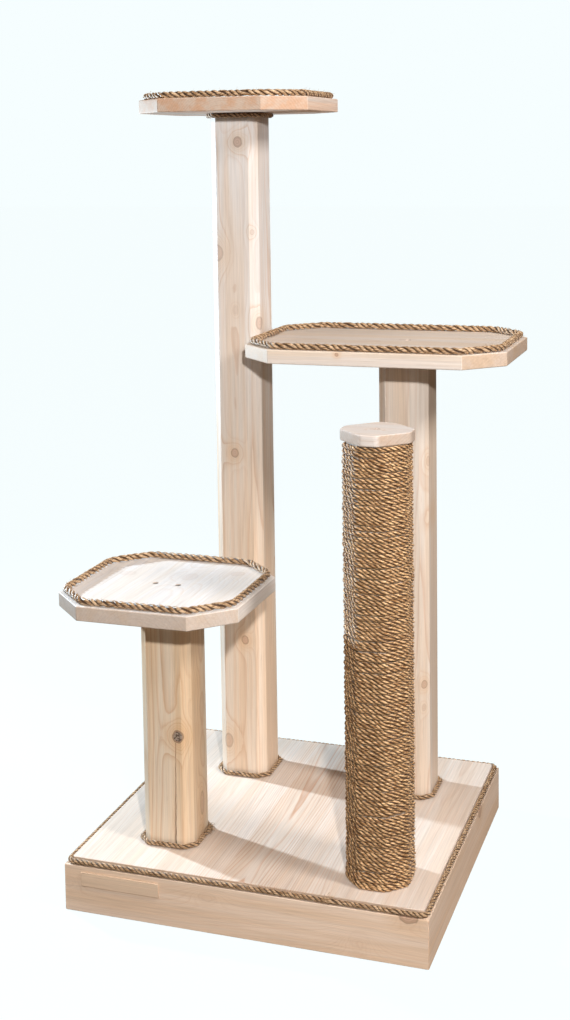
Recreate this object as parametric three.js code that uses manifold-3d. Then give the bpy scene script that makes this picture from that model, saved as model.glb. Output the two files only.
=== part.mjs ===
// A free-standing cat tree of solid softwood, trimmed with twisted manila rope.
// A hollow framed base carries four 4x4 posts: a tall, a middle and a low one, each with a
// clipped-corner perch on top, and one wound with thin rope for scratching, under a small cap.
// Millimetres, +Z up, +X to the right, +Y to the back. The origin is on the floor, at the
// centre of the base.

import * as THREE from 'three';
import { mergeVertices } from 'three/addons/utils/BufferGeometryUtils.js';
import Module from 'manifold-3d';

const wasm = await Module();
wasm.setup();

// ---- Driving dimensions -----------------------------------------------------------------

const GAP = 0.3;                 // left between two pieces that touch

// Base: four mitred rails around a top panel, with bearers beneath it.
const BASE_WIDTH = 612;          // along X
const BASE_DEPTH = 580;          // along Y
const RAIL_HEIGHT = 78;
const RAIL_THICKNESS = 19;
const PANEL_THICKNESS = 20;
const PANEL_RISE = 10;           // panel top above the rails' top edges
const PANEL_CORNER = 6;          // radius of the panel's upright corners
const PANEL_EASE = 1.5;          // softened edges of the panel
const CLEAT_WIDTH = 89;          // the boards that the posts are screwed through
const CLEAT_THICKNESS = 38;
const BRACE_THICKNESS = 38;      // the middle joist, which stands on the floor
const BLOCK_SIDE = 38;           // corner blocks inside the rails
const BLOCK_HEIGHT = 60;

// Blank plate on the front rail.
const PLATE_WIDTH = 137;
const PLATE_HEIGHT = 23;
const PLATE_THICKNESS = 2.5;
const PLATE_FROM_LEFT = 31;
const PLATE_FROM_TOP = 9;

// Posts: square timber with its long edges planed off.
const POST_SIDE = 89;
const POST_CHAMFER = 14;
const SCRATCH_CHAMFER = 25;      // the wound post is planed nearly round
const TALL_LENGTH = 1220;
const MIDDLE_LENGTH = 792;
const LOW_LENGTH = 409;
const SCRATCH_LENGTH = 703;

// Post centres, measured in from the base's outer faces.
const TALL_FROM_LEFT = 169;
const TALL_FROM_BACK = 149;
const MIDDLE_FROM_RIGHT = 134;
const MIDDLE_FROM_BACK = 151;
const LOW_FROM_LEFT = 145;
const LOW_FROM_FRONT = 133;
const SCRATCH_FROM_RIGHT = 100;
const SCRATCH_FROM_FRONT = 95;

// Perches: boards with their four corners clipped off.
const BOARD_THICKNESS = 24;
const BOARD_CLIP = 63;
const BOARD_CORNER = 3;          // radius of a board's upright edges
const BOARD_EASE = 2;            // softened top and bottom edges
const SMALL_PERCH_WIDTH = 316;   // the low and the top perch
const SMALL_PERCH_DEPTH = 306;
const WIDE_PERCH_WIDTH = 460;    // the middle perch
const WIDE_PERCH_DEPTH = 328;
const LOW_PERCH_SHIFT_X = -6;    // perch centre from its post's centre
const MIDDLE_PERCH_SHIFT_Y = -12;
const PERCH_TO_TALL_POST = 1;    // the middle perch stops just short of the tall post

// Cap on the scratching post.
const CAP_WIDTH = 115;
const CAP_CLIP = 43;
const CAP_THICKNESS = 18;
const CAP_CORNER = 16;
const CAP_EASE = 2;

// Rope.
const ROPE_DIAMETER = 9;         // edge trim and rings
const PERCH_ROPE_DIAMETER = 11.5;   // stouter trim on the perches
const ROPE_SIDES = 8;
const ROPE_BEND = 30;            // centre-line radius at a perch's corners
const ROPE_EDGE_MARGIN = 4;      // bare board outside a perch's rope
const ROPE_JOINT = 1;            // where the two cut ends meet
const EDGE_ROPE_JOINT_SHARE = 0.74;   // how far along the front side, from the left
const WRAP_DIAMETER = 8;         // thin rope wound on the scratching post
const WRAP_BEND = 15;            // outer radius of its turns at the post's chamfers

// Screws: [head diameter, head height, shank diameter, length].
const BASE_SCREW = { head: 18, headHeight: 4, shank: 8, length: 110, countersunk: false };
const PERCH_SCREW = { head: 11, headHeight: 4, shank: 5, length: 75, countersunk: true };
const CAP_SCREW = { head: 8, headHeight: 3.5, shank: 4.5, length: 60, countersunk: true };
const SCREW_TIP = 6;             // length of the pointed end
const SCREW_SINK = 1.5;          // countersunk heads end up this far below the wood
const SCREW_RIM = 0.8;           // straight rim of a countersunk head
const BASE_SCREW_SPACING = 44;   // along Y, under each post
const TALL_SCREW_OFFSETS = [-20.5, 20.5];   // along X, from each post's centre
const MIDDLE_SCREW_OFFSETS = [0];
const LOW_SCREW_OFFSETS = [-30, 11];
const ROUND_SIDES = 16;

// Chords in each rounded corner, and in each softened edge.
const PANEL_STEPS = 3;
const BOARD_STEPS = 2;
const CAP_STEPS = 3;
const EDGE_ROPE_STEPS = 4;
const RING_STEPS = 2;
const PERCH_ROPE_STEPS = 3;
const WINDING_STEPS = 3;
const EASE_STEPS = 2;

// ---- Sizes that follow from them --------------------------------------------------------

const DECK = RAIL_HEIGHT + PANEL_RISE;
const PANEL_BOTTOM = DECK - PANEL_THICKNESS;
const PANEL_INSET = ROPE_DIAMETER + 2 * GAP;     // the edge rope fills the step
const POST_FOOT = DECK + GAP;
const ROPE_RADIUS = ROPE_DIAMETER / 2;
const LEFT = -BASE_WIDTH / 2;
const RIGHT = BASE_WIDTH / 2;
const FRONT = -BASE_DEPTH / 2;
const BACK = BASE_DEPTH / 2;

const TALL = {
  x: LEFT + TALL_FROM_LEFT,
  y: BACK - TALL_FROM_BACK,
  length: TALL_LENGTH,
  chamfer: POST_CHAMFER,
  screwOffsets: TALL_SCREW_OFFSETS,
};
const MIDDLE = {
  x: RIGHT - MIDDLE_FROM_RIGHT,
  y: BACK - MIDDLE_FROM_BACK,
  length: MIDDLE_LENGTH,
  chamfer: POST_CHAMFER,
  screwOffsets: MIDDLE_SCREW_OFFSETS,
};
const LOW = {
  x: LEFT + LOW_FROM_LEFT,
  y: FRONT + LOW_FROM_FRONT,
  length: LOW_LENGTH,
  chamfer: POST_CHAMFER,
  screwOffsets: LOW_SCREW_OFFSETS,
};
const SCRATCH = {
  x: RIGHT - SCRATCH_FROM_RIGHT,
  y: FRONT + SCRATCH_FROM_FRONT,
  length: SCRATCH_LENGTH,
  chamfer: SCRATCH_CHAMFER,
};

// The middle perch fills the room between the tall post and its own right-hand end.
const MIDDLE_PERCH_X = TALL.x + POST_SIDE / 2 + PERCH_TO_TALL_POST + WIDE_PERCH_WIDTH / 2;
const TOP_PERCH = { x: TALL.x, y: TALL.y, width: SMALL_PERCH_WIDTH, depth: SMALL_PERCH_DEPTH };
const MIDDLE_PERCH = {
  x: MIDDLE_PERCH_X,
  y: MIDDLE.y + MIDDLE_PERCH_SHIFT_Y,
  width: WIDE_PERCH_WIDTH,
  depth: WIDE_PERCH_DEPTH,
};
const LOW_PERCH = {
  x: LOW.x + LOW_PERCH_SHIFT_X,
  y: LOW.y,
  width: SMALL_PERCH_WIDTH,
  depth: SMALL_PERCH_DEPTH,
};

// ---- Materials --------------------------------------------------------------------------

const FINISH = {
  post: { color: 0xd9c4ab, roughness: 0.62, metalness: 0 },
  board: { color: 0xdcc3a6, roughness: 0.6, metalness: 0 },
  rail: { color: 0xd2b799, roughness: 0.6, metalness: 0 },
  hidden: { color: 0xc9b291, roughness: 0.8, metalness: 0 },
  plate: { color: 0xd8c2a4, roughness: 0.5, metalness: 0 },
  rope: { color: 0x9c7748, roughness: 0.95, metalness: 0 },
  wrap: { color: 0xb8945f, roughness: 0.95, metalness: 0 },
  steel: { color: 0x6e665c, roughness: 0.45, metalness: 0.9 },
};

const catTree = new THREE.Group();

function addPiece(name, geometry, finish, x = 0, y = 0, z = 0, turn = 0) {
  const mesh = new THREE.Mesh(geometry, new THREE.MeshStandardMaterial(FINISH[finish]));
  mesh.name = name;
  mesh.position.set(x, y, z);
  mesh.rotation.z = turn;
  catTree.add(mesh);
}

// ---- Joining and cutting ----------------------------------------------------------------

function toSolid(geometry) {
  const bare = new THREE.BufferGeometry();
  bare.setAttribute('position', geometry.getAttribute('position'));
  bare.setIndex(geometry.getIndex());
  const merged = mergeVertices(bare, 1e-4);
  const index = merged.getIndex().array;
  const triangles = [];
  for (let i = 0; i < index.length; i += 3) {
    const [a, b, c] = [index[i], index[i + 1], index[i + 2]];
    if (a !== b && b !== c && c !== a) {
      triangles.push(a, b, c);
    }
  }
  const mesh = new wasm.Mesh({
    numProp: 3,
    vertProperties: merged.getAttribute('position').array,
    triVerts: new Uint32Array(triangles),
  });
  return new wasm.Manifold(mesh);
}

function toGeometry(solid) {
  const mesh = solid.getMesh();
  const geometry = new THREE.BufferGeometry();
  geometry.setAttribute('position', new THREE.BufferAttribute(mesh.vertProperties, 3));
  geometry.setIndex(new THREE.BufferAttribute(mesh.triVerts, 1));
  geometry.computeVertexNormals();
  return geometry;
}

function cutAll(geometry, tools) {
  let solid = toSolid(geometry);
  for (const tool of tools) {
    solid = solid.subtract(toSolid(tool));
  }
  return toGeometry(solid);
}

// ---- Outlines ---------------------------------------------------------------------------

// A rectangle about the origin with its corners cut off at 45 degrees, anticlockwise.
function clippedCorners(width, depth, clip) {
  const x = width / 2;
  const y = depth / 2;
  return [
    new THREE.Vector2(-x + clip, -y),
    new THREE.Vector2(x - clip, -y),
    new THREE.Vector2(x, -y + clip),
    new THREE.Vector2(x, y - clip),
    new THREE.Vector2(x - clip, y),
    new THREE.Vector2(-x + clip, y),
    new THREE.Vector2(-x, y - clip),
    new THREE.Vector2(-x, -y + clip),
  ];
}

function squareCorners(width, depth) {
  const x = width / 2;
  const y = depth / 2;
  return [
    new THREE.Vector2(-x, -y),
    new THREE.Vector2(x, -y),
    new THREE.Vector2(x, y),
    new THREE.Vector2(-x, y),
  ];
}

// A clip stays parallel to itself when its rectangle grows by `margin` on every side.
function grownClip(clip, margin) {
  return clip + margin * (2 - Math.SQRT2);
}

// The same corners, each turned into an arc of `steps` chords.
function rounded(corners, radius, steps) {
  const points = [];
  const count = corners.length;
  for (let i = 0; i < count; i += 1) {
    const corner = corners[i];
    const into = corner.clone().sub(corners[(i + count - 1) % count]).normalize();
    const out = corners[(i + 1) % count].clone().sub(corner).normalize();
    const turn = Math.acos(into.dot(out));
    const start = corner.clone().addScaledVector(into, -radius * Math.tan(turn / 2));
    const centre = start.clone().add(new THREE.Vector2(-into.y, into.x).multiplyScalar(radius));
    for (let step = 0; step <= steps; step += 1) {
      points.push(start.clone().rotateAround(centre, (turn * step) / steps));
    }
  }
  return points;
}

// An upright solid on an outline, from z = 0, with softened top and bottom edges.
function upright(outline, height, ease = 0) {
  const shape = outline instanceof THREE.Shape ? outline : new THREE.Shape(outline);
  const geometry = new THREE.ExtrudeGeometry(shape, {
    depth: height - 2 * ease,
    bevelEnabled: ease > 0,
    bevelThickness: ease,
    bevelSize: ease,
    bevelOffset: -ease,
    bevelSegments: EASE_STEPS,
  });
  return geometry.translate(0, 0, ease);
}

function block(width, depth, height) {
  return new THREE.BoxGeometry(width, depth, height).translate(0, 0, height / 2);
}

// ---- Rope -------------------------------------------------------------------------------

// A route through chosen points, where a tube has one section at each point.
class Route extends THREE.Curve {
  constructor(points) {
    super();
    this.points = points;
  }

  getUtoTmapping(u) {
    return u;
  }

  getPoint(t, target = new THREE.Vector3()) {
    const place = t * (this.points.length - 1);
    const i = Math.min(Math.floor(place), this.points.length - 2);
    return target.lerpVectors(this.points[i], this.points[i + 1], place - i);
  }

  getTangentAt(u, target = new THREE.Vector3()) {
    const last = this.points.length - 1;
    const i = Math.round(u * last);
    const before = this.points[Math.max(i, 1)].clone().sub(this.points[Math.max(i, 1) - 1]);
    const next = Math.min(i, last - 1);
    const after = this.points[next + 1].clone().sub(this.points[next]);
    return target.copy(before.normalize().add(after.normalize())).normalize();
  }
}

function roundSection(radius, sides) {
  const points = [];
  for (let i = 0; i < sides; i += 1) {
    const angle = ((i + 0.5) * 2 * Math.PI) / sides;
    points.push(new THREE.Vector2(radius * Math.cos(angle), radius * Math.sin(angle)));
  }
  return new THREE.Shape(points);
}

// One length of rope laid level round rounded corners. Its cut ends meet on the outline's
// last side, a joint's width apart and `share` of the way along it.
function ropeLoop(corners, radius, bend, arcSteps, share = 0.5) {
  const count = corners.length;
  const along = corners[0].clone().sub(corners[count - 1]).normalize();
  const joint = corners[count - 1].clone().lerp(corners[0], share);
  const start = joint.clone().addScaledVector(along, ROPE_JOINT / 2);
  const end = joint.clone().addScaledVector(along, -ROPE_JOINT / 2);
  const flat = [start, ...rounded(corners, bend, arcSteps), end];
  const route = new Route(flat.map((p) => new THREE.Vector3(p.x, p.y, 0)));
  return new THREE.ExtrudeGeometry(roundSection(radius, ROPE_SIDES), {
    steps: flat.length - 1,
    bevelEnabled: false,
    extrudePath: route,
  });
}

// ---- Screws -----------------------------------------------------------------------------

// A screw hanging down from its head's top at z = 0. With a margin it is the hole for it.
function screwProfile(screw, margin) {
  const head = screw.head / 2 + margin;
  const shank = screw.shank / 2 + margin;
  const neck = -screw.headHeight;
  const rim = screw.countersunk ? -SCREW_RIM : neck;
  return [
    new THREE.Vector2(0, -screw.length - margin),
    new THREE.Vector2(shank, -screw.length + SCREW_TIP),
    new THREE.Vector2(shank, neck),
    new THREE.Vector2(head, rim),
    new THREE.Vector2(head, margin),
    new THREE.Vector2(0, margin),
  ];
}

function screwSolid(screw, margin = 0) {
  const profile = screwProfile(screw, margin);
  const lathe = new THREE.LatheGeometry(profile, ROUND_SIDES);
  return lathe.rotateX(Math.PI / 2);
}

// The hole reaches on past the head, so a sunk head stays in the open.
function screwHole(screw, x, y, z, flip = false) {
  const reach = SCREW_SINK + 2 * GAP;
  const head = screw.head / 2 + GAP;
  const mouth = new THREE.CylinderGeometry(head, head, reach, ROUND_SIDES);
  mouth.rotateX(Math.PI / 2).translate(0, 0, reach / 2);
  const hole = toGeometry(toSolid(screwSolid(screw, GAP)).add(toSolid(mouth)));
  if (flip) {
    hole.rotateX(Math.PI);
  }
  return hole.translate(x, y, z);
}

// ---- Base -------------------------------------------------------------------------------

// A rail with both ends mitred and a step along its inner top edge, which holds the panel.
// Its outer face lies on y = 0 and its middle on x = 0.
function railGeometry(length) {
  const trim = GAP * Math.SQRT1_2;
  const plan = (thickness) => [
    new THREE.Vector2(-length / 2 + trim, 0),
    new THREE.Vector2(length / 2 - trim, 0),
    new THREE.Vector2(length / 2 - trim - thickness, thickness),
    new THREE.Vector2(-length / 2 + trim + thickness, thickness),
  ];
  const step = PANEL_BOTTOM - GAP;
  const lower = upright(plan(RAIL_THICKNESS), step);
  const upper = upright(plan(PANEL_INSET - GAP), RAIL_HEIGHT - step).translate(0, 0, step);
  return toGeometry(toSolid(lower).add(toSolid(upper)));
}

function addRails() {
  addPiece('base_rail_front', railGeometry(BASE_WIDTH), 'rail', 0, FRONT);
  addPiece('base_rail_right', railGeometry(BASE_DEPTH), 'rail', RIGHT, 0, 0, Math.PI / 2);
  addPiece('base_rail_back', railGeometry(BASE_WIDTH), 'rail', 0, BACK, 0, Math.PI);
  addPiece('base_rail_left', railGeometry(BASE_DEPTH), 'rail', LEFT, 0, 0, -Math.PI / 2);
}

// Each cleat lies under two posts, one behind the other.
const CLEATS = [
  { name: 'left', x: (TALL.x + LOW.x) / 2, posts: [TALL, LOW] },
  { name: 'right', x: (MIDDLE.x + SCRATCH.x) / 2, posts: [MIDDLE, SCRATCH] },
];
const BEARER_LENGTH = BASE_DEPTH - 2 * (RAIL_THICKNESS + GAP);
const BEARER_TOP = PANEL_BOTTOM - GAP;
const CLEAT_BOTTOM = BEARER_TOP - CLEAT_THICKNESS;
const BASE_SCREW_Z = CLEAT_BOTTOM - GAP - BASE_SCREW.headHeight;

function baseScrewPlaces(post) {
  return [-1, 1].map((side) => ({ x: post.x, y: post.y + (side * BASE_SCREW_SPACING) / 2 }));
}

// Holes for the screws under the given posts, in the frame of a piece at (x, y, z).
function baseScrewHoles(posts, x, y, z) {
  const places = posts.flatMap(baseScrewPlaces);
  return places.map((p) => screwHole(BASE_SCREW, p.x - x, p.y - y, BASE_SCREW_Z - z, true));
}

function addBearers() {
  for (const { name, x, posts } of CLEATS) {
    const board = block(CLEAT_WIDTH, BEARER_LENGTH, CLEAT_THICKNESS);
    const drilled = cutAll(board, baseScrewHoles(posts, x, 0, CLEAT_BOTTOM));
    addPiece(`base_cleat_${name}`, drilled, 'hidden', x, 0, CLEAT_BOTTOM);
  }
  const brace = block(BRACE_THICKNESS, BEARER_LENGTH, BEARER_TOP);
  addPiece('base_brace_middle', brace, 'hidden');
}

function addCornerBlocks() {
  const x = BASE_WIDTH / 2 - RAIL_THICKNESS - GAP - BLOCK_SIDE / 2;
  const y = BASE_DEPTH / 2 - RAIL_THICKNESS - GAP - BLOCK_SIDE / 2;
  const z = BEARER_TOP - BLOCK_HEIGHT;
  for (const [end, sy] of [['front', -1], ['back', 1]]) {
    for (const [side, sx] of [['left', -1], ['right', 1]]) {
      const piece = block(BLOCK_SIDE, BLOCK_SIDE, BLOCK_HEIGHT);
      addPiece(`corner_block_${end}_${side}`, piece, 'hidden', sx * x, sy * y, z);
    }
  }
}

const PANEL_WIDTH = BASE_WIDTH - 2 * PANEL_INSET;
const PANEL_DEPTH = BASE_DEPTH - 2 * PANEL_INSET;

function addPanel() {
  const outline = rounded(squareCorners(PANEL_WIDTH, PANEL_DEPTH), PANEL_CORNER, PANEL_STEPS);
  const board = upright(outline, PANEL_THICKNESS, PANEL_EASE);
  const holes = baseScrewHoles([TALL, MIDDLE, LOW, SCRATCH], 0, 0, PANEL_BOTTOM);
  addPiece('base_top_panel', cutAll(board, holes), 'board', 0, 0, PANEL_BOTTOM);
}

// The edge rope lies on the rails, round the panel. Its ends meet on the front side.
function addEdgeRope() {
  const grown = 2 * (GAP + ROPE_RADIUS);
  const [frontLeft, ...others] = squareCorners(PANEL_WIDTH + grown, PANEL_DEPTH + grown);
  const corners = [...others, frontLeft];
  const bend = PANEL_CORNER + GAP + ROPE_RADIUS;
  const rope = ropeLoop(corners, ROPE_RADIUS, bend, EDGE_ROPE_STEPS, EDGE_ROPE_JOINT_SHARE);
  addPiece('base_edge_rope', rope, 'rope', 0, 0, RAIL_HEIGHT + GAP + ROPE_RADIUS);
}

function addPlate() {
  const plate = upright(squareCorners(PLATE_WIDTH, PLATE_HEIGHT), PLATE_THICKNESS);
  plate.rotateX(Math.PI / 2);
  const x = LEFT + PLATE_FROM_LEFT + PLATE_WIDTH / 2;
  const z = RAIL_HEIGHT - PLATE_FROM_TOP - PLATE_HEIGHT / 2;
  addPiece('blank_plate', plate, 'plate', x, FRONT - GAP, z);
}

// ---- Posts and what they carry ----------------------------------------------------------

function perchScrewPlaces(post) {
  return post.screwOffsets.map((offset) => ({ x: post.x + offset, y: post.y }));
}

function postTop(post) {
  return POST_FOOT + post.length;
}

function addPost(name, post, topHoles) {
  const outline = clippedCorners(POST_SIDE, POST_SIDE, post.chamfer);
  const holes = [...baseScrewHoles([post], post.x, post.y, POST_FOOT), ...topHoles];
  addPiece(name, cutAll(upright(outline, post.length), holes), 'post', post.x, post.y, POST_FOOT);
}

function addBaseScrews(name, post) {
  baseScrewPlaces(post).forEach((place, i) => {
    const screw = screwSolid(BASE_SCREW).rotateX(Math.PI);
    const label = `${name}_foot_screw_${i + 1}`;
    addPiece(label, screw, 'steel', place.x, place.y, BASE_SCREW_Z);
  });
}

// A ring of rope pulled tight round a post, at the height of its centre line.
function addRing(name, post, z) {
  const grown = ROPE_RADIUS + GAP;
  const side = POST_SIDE + 2 * grown;
  const corners = clippedCorners(side, side, grownClip(post.chamfer, grown));
  const behind = [...corners.slice(6), ...corners.slice(0, 6)];
  const ring = ropeLoop(behind, ROPE_RADIUS, grown, RING_STEPS);
  addPiece(name, ring, 'rope', post.x, post.y, z);
}

function addPerch(name, perch, post) {
  const bottom = postTop(post) + GAP;
  const top = bottom + BOARD_THICKNESS;
  const corners = clippedCorners(perch.width, perch.depth, BOARD_CLIP);
  const board = upright(rounded(corners, BOARD_CORNER, BOARD_STEPS), BOARD_THICKNESS, BOARD_EASE);
  const screwZ = top - SCREW_SINK;
  const places = perchScrewPlaces(post);
  const holes = places.map((place) => (
    screwHole(PERCH_SCREW, place.x - perch.x, place.y - perch.y, screwZ - bottom)
  ));
  addPiece(`${name}_perch_board`, cutAll(board, holes), 'board', perch.x, perch.y, bottom);
  places.forEach((place, i) => {
    const screw = screwSolid(PERCH_SCREW);
    addPiece(`${name}_perch_screw_${i + 1}`, screw, 'steel', place.x, place.y, screwZ);
  });
  addPerchRope(name, perch, top);
}

function addPerchRope(name, perch, top) {
  const radius = PERCH_ROPE_DIAMETER / 2;
  const inset = -(ROPE_EDGE_MARGIN + radius);
  const width = perch.width + 2 * inset;
  const depth = perch.depth + 2 * inset;
  const corners = clippedCorners(width, depth, grownClip(BOARD_CLIP, inset));
  const behind = [...corners.slice(6), ...corners.slice(0, 6)];
  const rope = ropeLoop(behind, radius, ROPE_BEND, PERCH_ROPE_STEPS);
  addPiece(`${name}_perch_rope`, rope, 'rope', perch.x, perch.y, top + GAP + radius);
}

// A post with rope rings at its foot and head, and a perch screwed down on top.
function addPerchPost(name, post, perch) {
  const screwZ = post.length + GAP + BOARD_THICKNESS - SCREW_SINK;
  const topHoles = perchScrewPlaces(post).map((place) => (
    screwHole(PERCH_SCREW, place.x - post.x, place.y - post.y, screwZ)
  ));
  addPost(`${name}_post`, post, topHoles);
  addBaseScrews(name, post);
  addRing(`${name}_foot_ring`, post, POST_FOOT + ROPE_RADIUS);
  addRing(`${name}_head_ring`, post, postTop(post) - ROPE_RADIUS);
  addPerch(name, perch, post);
}

// The winding is one sleeve of the rope's outer size, closed round the timber core.
function addWinding() {
  const coreSide = POST_SIDE + 2 * GAP;
  const coreClip = grownClip(SCRATCH.chamfer, GAP);
  const side = coreSide + 2 * WRAP_DIAMETER;
  const corners = clippedCorners(side, side, grownClip(coreClip, WRAP_DIAMETER));
  const shape = new THREE.Shape(rounded(corners, WRAP_BEND, WINDING_STEPS));
  shape.holes.push(new THREE.Path(clippedCorners(coreSide, coreSide, coreClip)));
  const sleeve = upright(shape, SCRATCH.length - GAP);
  addPiece('scratch_rope_winding', sleeve, 'wrap', SCRATCH.x, SCRATCH.y, POST_FOOT);
}

function addCap() {
  const bottom = postTop(SCRATCH) + GAP;
  const screwZ = bottom + CAP_THICKNESS - SCREW_SINK;
  const corners = clippedCorners(CAP_WIDTH, CAP_WIDTH, CAP_CLIP);
  const cap = upright(rounded(corners, CAP_CORNER, CAP_STEPS), CAP_THICKNESS, CAP_EASE);
  const drilled = cutAll(cap, [screwHole(CAP_SCREW, 0, 0, screwZ - bottom)]);
  addPiece('scratch_cap', drilled, 'board', SCRATCH.x, SCRATCH.y, bottom);
  addPiece('scratch_cap_screw', screwSolid(CAP_SCREW), 'steel', SCRATCH.x, SCRATCH.y, screwZ);
}

function addScratchPost() {
  const screwZ = SCRATCH.length + GAP + CAP_THICKNESS - SCREW_SINK;
  addPost('scratch_post', SCRATCH, [screwHole(CAP_SCREW, 0, 0, screwZ)]);
  addBaseScrews('scratch', SCRATCH);
  addWinding();
  addCap();
}

addRails();
addBearers();
addCornerBlocks();
addPanel();
addEdgeRope();
addPlate();
addPerchPost('tall', TALL, TOP_PERCH);
addPerchPost('middle', MIDDLE, MIDDLE_PERCH);
addPerchPost('low', LOW, LOW_PERCH);
addScratchPost();

export default catTree;
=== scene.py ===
import math
import random
from functools import partial

import bmesh
import bpy
from mathutils import Euler, Matrix, Vector


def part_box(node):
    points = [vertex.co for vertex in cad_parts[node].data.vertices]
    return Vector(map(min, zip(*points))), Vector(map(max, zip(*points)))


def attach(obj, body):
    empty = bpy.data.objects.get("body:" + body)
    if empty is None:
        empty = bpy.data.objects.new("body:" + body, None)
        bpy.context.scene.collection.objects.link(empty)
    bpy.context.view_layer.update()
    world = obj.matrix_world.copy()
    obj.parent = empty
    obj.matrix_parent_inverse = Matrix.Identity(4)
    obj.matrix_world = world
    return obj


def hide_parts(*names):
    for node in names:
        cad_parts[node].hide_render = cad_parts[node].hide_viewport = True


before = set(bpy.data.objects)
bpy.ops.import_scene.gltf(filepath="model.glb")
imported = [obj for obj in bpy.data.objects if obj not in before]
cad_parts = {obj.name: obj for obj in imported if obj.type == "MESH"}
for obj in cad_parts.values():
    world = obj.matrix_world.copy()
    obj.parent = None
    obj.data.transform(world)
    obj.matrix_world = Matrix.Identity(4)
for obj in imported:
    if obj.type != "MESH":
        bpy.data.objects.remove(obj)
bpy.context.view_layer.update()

scene = bpy.context.scene

# ---- Camera, light and floor ------------------------------------------------------------
# A plain pale studio: one lamp beside the camera, one low and cool on the left, and broad
# soft ones overhead and on the right, above a floor that fades into a white wall.

CAMERA_PLACE = Vector((0.79094, -2.35293, 1.23520))
YAW, PITCH, ROLL = 0.32720, 0.09477, -0.01405
ahead = Vector((-math.sin(YAW), math.cos(YAW), 0)) * math.cos(PITCH)
forward = ahead - Vector((0, 0, math.sin(PITCH)))
level = Vector((math.cos(YAW), math.sin(YAW), 0))
above = level.cross(forward)
right = level * math.cos(ROLL) + above * math.sin(ROLL)
up = above * math.cos(ROLL) - level * math.sin(ROLL)

camera = bpy.data.objects.new("camera", bpy.data.cameras.new("camera"))
scene.collection.objects.link(camera)
camera.matrix_world = Matrix.Translation(CAMERA_PLACE) @ Matrix((right, up, -forward)).transposed().to_4x4()
camera.data.sensor_width = 36
camera.data.lens = 51.647
camera.data.shift_y = -0.2133
camera.data.clip_end = 60
scene.camera = camera
scene.view_settings.view_transform = "Standard"


def add_lamp(name, place, target, size, watts, colour):
    lamp = bpy.data.objects.new(name, bpy.data.lights.new(name, "AREA"))
    lamp.data.shape = "DISK"
    lamp.data.size = size
    lamp.data.energy = watts
    lamp.data.color = colour
    lamp.location = place
    lamp.rotation_euler = (Vector(target) - Vector(place)).to_track_quat("-Z", "Y").to_euler()
    scene.collection.objects.link(lamp)


add_lamp("front_lamp", (0.96, -2.25, 1.64), (0, 0, 0.6), 0.09, 50, (1, 0.98, 0.95))
add_lamp("left_lamp", (-1.66, 0.39, 1.0), (0, -0.05, 0.5), 0.08, 52, (0.70, 0.87, 1.0))
add_lamp("right_lamp", (2.3, -0.8, 2.5), (0, 0, 0.6), 0.7, 58, (1, 0.95, 0.9))
add_lamp("overhead_lamp", (0.1, -0.5, 3.2), (0, 0, 0), 2.4, 22, (1, 0.95, 0.91))


def set_inputs(tree, node, values):
    """Sets inputs by name or number, each to a value or to another node's output."""
    for socket, value in values.items():
        if isinstance(value, bpy.types.NodeSocket):
            tree.links.new(value, node.inputs[socket])
        else:
            node.inputs[socket].default_value = value


def add(tree, kind, values=None, **settings):
    made = tree.nodes.new(kind)
    for key, value in settings.items():
        setattr(made, key, value)
    set_inputs(tree, made, values or {})
    return made


WALL_WHITE = (0.922, 0.991, 1, 1)
FLOOR_SIZE = 60
world = bpy.data.worlds.new("studio")
scene.world = world
world.use_nodes = True
tree = world.node_tree
tree.nodes.clear()
seen = add(tree, "ShaderNodeLightPath").outputs["Is Camera Ray"]
room = add(tree, "ShaderNodeBackground", {"Color": (1, 0.47, 0.17, 1), "Strength": 0.036})
wall = add(tree, "ShaderNodeBackground", {"Color": WALL_WHITE, "Strength": 1})
both = add(tree, "ShaderNodeMixShader", {0: seen, 1: room.outputs[0], 2: wall.outputs[0]})
add(tree, "ShaderNodeOutputWorld", {0: both.outputs[0]})

bpy.ops.mesh.primitive_grid_add(size=FLOOR_SIZE, x_subdivisions=1, y_subdivisions=1, location=(0, 0, -0.0005))
floor = bpy.context.object
floor.name = "floor"


def new_paint(name):
    """An empty material and its node tree."""
    paint = bpy.data.materials.new(name)
    paint.use_nodes = True
    paint.node_tree.nodes.clear()
    return paint, paint.node_tree


floor_paint, tree = new_paint("pale_floor")
where = add(tree, "ShaderNodeTexCoord").outputs["Object"]
dust = add(tree, "ShaderNodeTexNoise", {"Vector": where, "Scale": 3})
matt = add(tree, "ShaderNodeBsdfPrincipled", {"Base Color": (0.02, 0.02, 0.02, 1)})
rough = add(tree, "ShaderNodeMapRange", {"Value": dust.outputs[0], "To Min": 0.85, "To Max": 0.95})
tree.links.new(rough.outputs[0], matt.inputs["Roughness"])
matt.inputs["Emission Color"].default_value = WALL_WHITE
matt.inputs["Emission Strength"].default_value = 0.99
glow = add(tree, "ShaderNodeBsdfPrincipled", {"Base Color": (0.20, 0.155, 0.115, 1), "Roughness": 0.9})
seen = add(tree, "ShaderNodeLightPath").outputs["Is Camera Ray"]
both = add(tree, "ShaderNodeMixShader", {0: seen, 1: glow.outputs[0], 2: matt.outputs[0]})
add(tree, "ShaderNodeOutputMaterial", {0: both.outputs[0]})
floor.data.materials.append(floor_paint)

# ---- Frame rails of the base ------------------------------------------------------------
# Four planed softwood boards on edge, mitred at the corners and glued and pinned to blocks
# inside. Their grain runs along them, and their edges are lightly sanded over.


def calc(tree, operation, *values):
    return add(tree, "ShaderNodeMath", dict(enumerate(values)), operation=operation).outputs[0]


def vector(tree, operation, *values, out=0):
    return add(tree, "ShaderNodeVectorMath", dict(enumerate(values)), operation=operation).outputs[out]


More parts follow.
